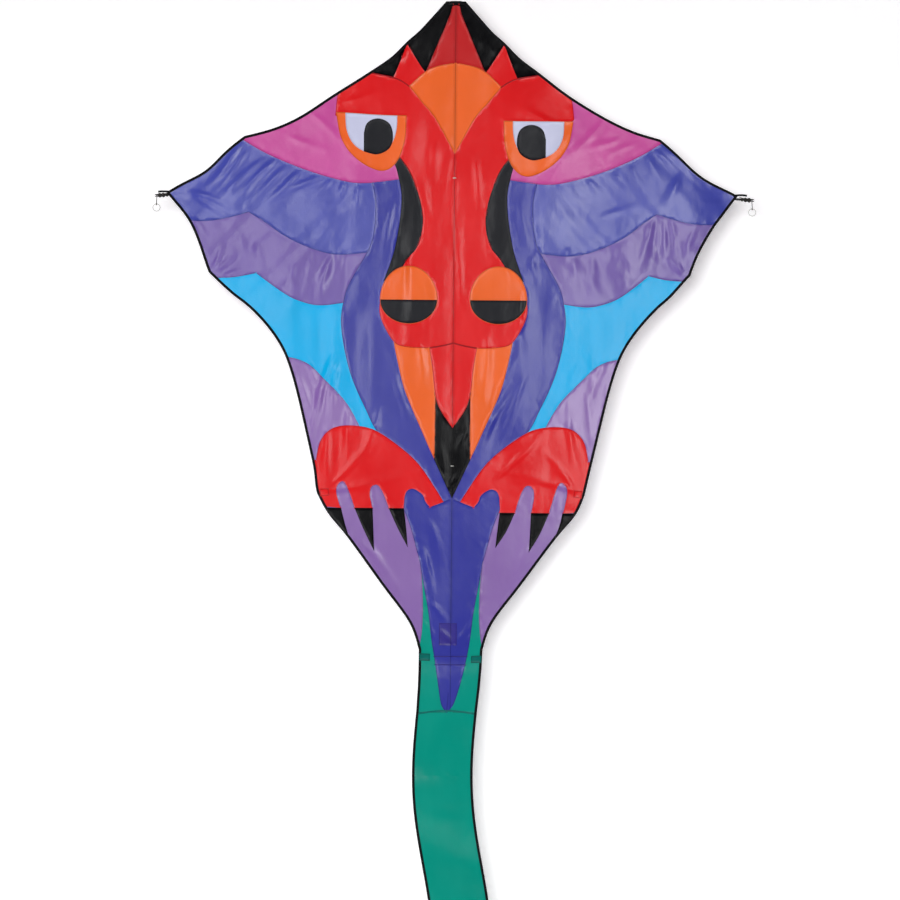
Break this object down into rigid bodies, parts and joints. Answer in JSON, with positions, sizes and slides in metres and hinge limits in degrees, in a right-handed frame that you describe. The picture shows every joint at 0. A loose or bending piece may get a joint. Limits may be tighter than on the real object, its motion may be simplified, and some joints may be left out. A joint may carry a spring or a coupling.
{
  "type": "dragon kite",
  "caption": "Large single-line dragon kite: flat sail of sewn ripstop panels in a dragon-face pattern, tapering into a ribbon tail, on a rod cross with wing-tip pull rings.",
  "frame": {"origin": "the bridle point: on the sail's face where the spine and the wing spars cross", "axes": "+Z along the spine towards the nose, -Y out of the patterned face towards the flyer, +Y to the spar side, +X towards the right wing tip as seen from the face"},
  "size_m": [1.5916, 0.023, 3.2025],
  "materials": {
    "red_cloth": "smooth coated ripstop, slight sheen",
    "orange_cloth": "smooth coated ripstop, slight sheen",
    "black_cloth": "smooth coated ripstop, slight sheen",
    "white_cloth": "smooth coated ripstop, slight sheen",
    "pink_cloth": "smooth coated ripstop, slight sheen",
    "blue_cloth": "smooth coated ripstop, slight sheen",
    "violet_cloth": "smooth coated ripstop, slight sheen",
    "purple_cloth": "smooth coated ripstop, slight sheen",
    "cyan_cloth": "smooth coated ripstop, slight sheen",
    "lilac_cloth": "smooth coated ripstop, slight sheen",
    "green_cloth": "smooth coated ripstop, slight sheen",
    "rod": "pultruded fibreglass rod, satin black",
    "fitting": "moulded black plastic",
    "rubber_cap": "soft black vinyl",
    "clear_plastic": "pale translucent moulded ring",
    "line": "braided dark line"
  },
  "bodies": {
    "frame": {"spine_upper": "rod", "spine_lower": "rod", "spine_ferrule": "fitting", "nose_cap": "rubber_cap", "spine_end_cap": "rubber_cap", "centre_hub": "fitting", "lower_hub": "fitting", "tail_batten": "rod", "body_left": "blue_cloth", "body_right": "blue_cloth", "tail_root_left": "green_cloth", "tail_root_right": "green_cloth"},
    "wing_left": {"crown_left": "black_cloth", "crest_left": "red_cloth", "brow_left": "orange_cloth", "head_left": "red_cloth", "eye_left": "orange_cloth", "shoulder_left": "pink_cloth", "wing_upper_left": "violet_cloth", "wing_middle_left": "purple_cloth", "wing_lower_left": "cyan_cloth", "hip_left": "lilac_cloth", "neck_left": "blue_cloth", "crescent_left": "black_cloth", "nostril_left": "orange_cloth", "tusk_left": "orange_cloth", "mouth_left": "black_cloth", "foot_left": "red_cloth", "hand_left": "lilac_cloth", "wing_spar_left": "rod", "nock_left": "fitting", "tension_line_left": "line", "lower_spar_left": "rod"},
    "ring_left": {"pull_ring_left": "clear_plastic"},
    "wing_right": {"crown_right": "black_cloth", "crest_right": "red_cloth", "brow_right": "orange_cloth", "head_right": "red_cloth", "eye_right": "orange_cloth", "shoulder_right": "pink_cloth", "wing_upper_right": "violet_cloth", "wing_middle_right": "purple_cloth", "wing_lower_right": "cyan_cloth", "hip_right": "lilac_cloth", "neck_right": "blue_cloth", "crescent_right": "black_cloth", "nostril_right": "orange_cloth", "tusk_right": "orange_cloth", "mouth_right": "black_cloth", "foot_right": "red_cloth", "hand_right": "lilac_cloth", "wing_spar_right": "rod", "nock_right": "fitting", "tension_line_right": "line", "lower_spar_right": "rod"},
    "ring_right": {"pull_ring_right": "clear_plastic"},
    "tail_1": {"tail_1": "green_cloth"},
    "tail_2": {"tail_2": "green_cloth"},
    "tail_3": {"tail_3": "green_cloth"},
    "tail_4": {"tail_4": "green_cloth"}
  },
  "joints": [
    {"name": "wing_flex_left", "type": "hinge", "parent": "frame", "child": "wing_left", "pos_m": [0, 0, 0], "axis": [0, 0, -1], "range_deg": [0, 15], "stiffness_Nm_per_rad": 8},
    {"name": "wing_flex_right", "type": "hinge", "parent": "frame", "child": "wing_right", "pos_m": [0, 0, 0], "axis": [0, 0, 1], "range_deg": [0, 15], "stiffness_Nm_per_rad": 8},
    {"name": "ring_swing_left", "type": "hinge", "parent": "wing_left", "child": "ring_left", "pos_m": [-0.785, 0.0145, -0.073], "axis": [1, 0, 0], "range_deg": [-80, 80]},
    {"name": "ring_swing_right", "type": "hinge", "parent": "wing_right", "child": "ring_right", "pos_m": [0.785, 0.0145, -0.073], "axis": [1, 0, 0], "range_deg": [-80, 80]},
    {"name": "tail_bend_1", "type": "hinge", "parent": "frame", "child": "tail_1", "pos_m": [0, 0, -1.405], "axis": [1, 0, 0], "range_deg": [-40, 40]},
    {"name": "tail_bend_2", "type": "hinge", "parent": "tail_1", "child": "tail_2", "pos_m": [0, 0, -1.73875], "axis": [1, 0, 0], "range_deg": [-40, 40]},
    {"name": "tail_bend_3", "type": "hinge", "parent": "tail_2", "child": "tail_3", "pos_m": [0, 0, -2.0725], "axis": [1, 0, 0], "range_deg": [-40, 40]},
    {"name": "tail_bend_4", "type": "hinge", "parent": "tail_3", "child": "tail_4", "pos_m": [0, 0, -2.40625], "axis": [1, 0, 0], "range_deg": [-40, 40]}
  ]
}
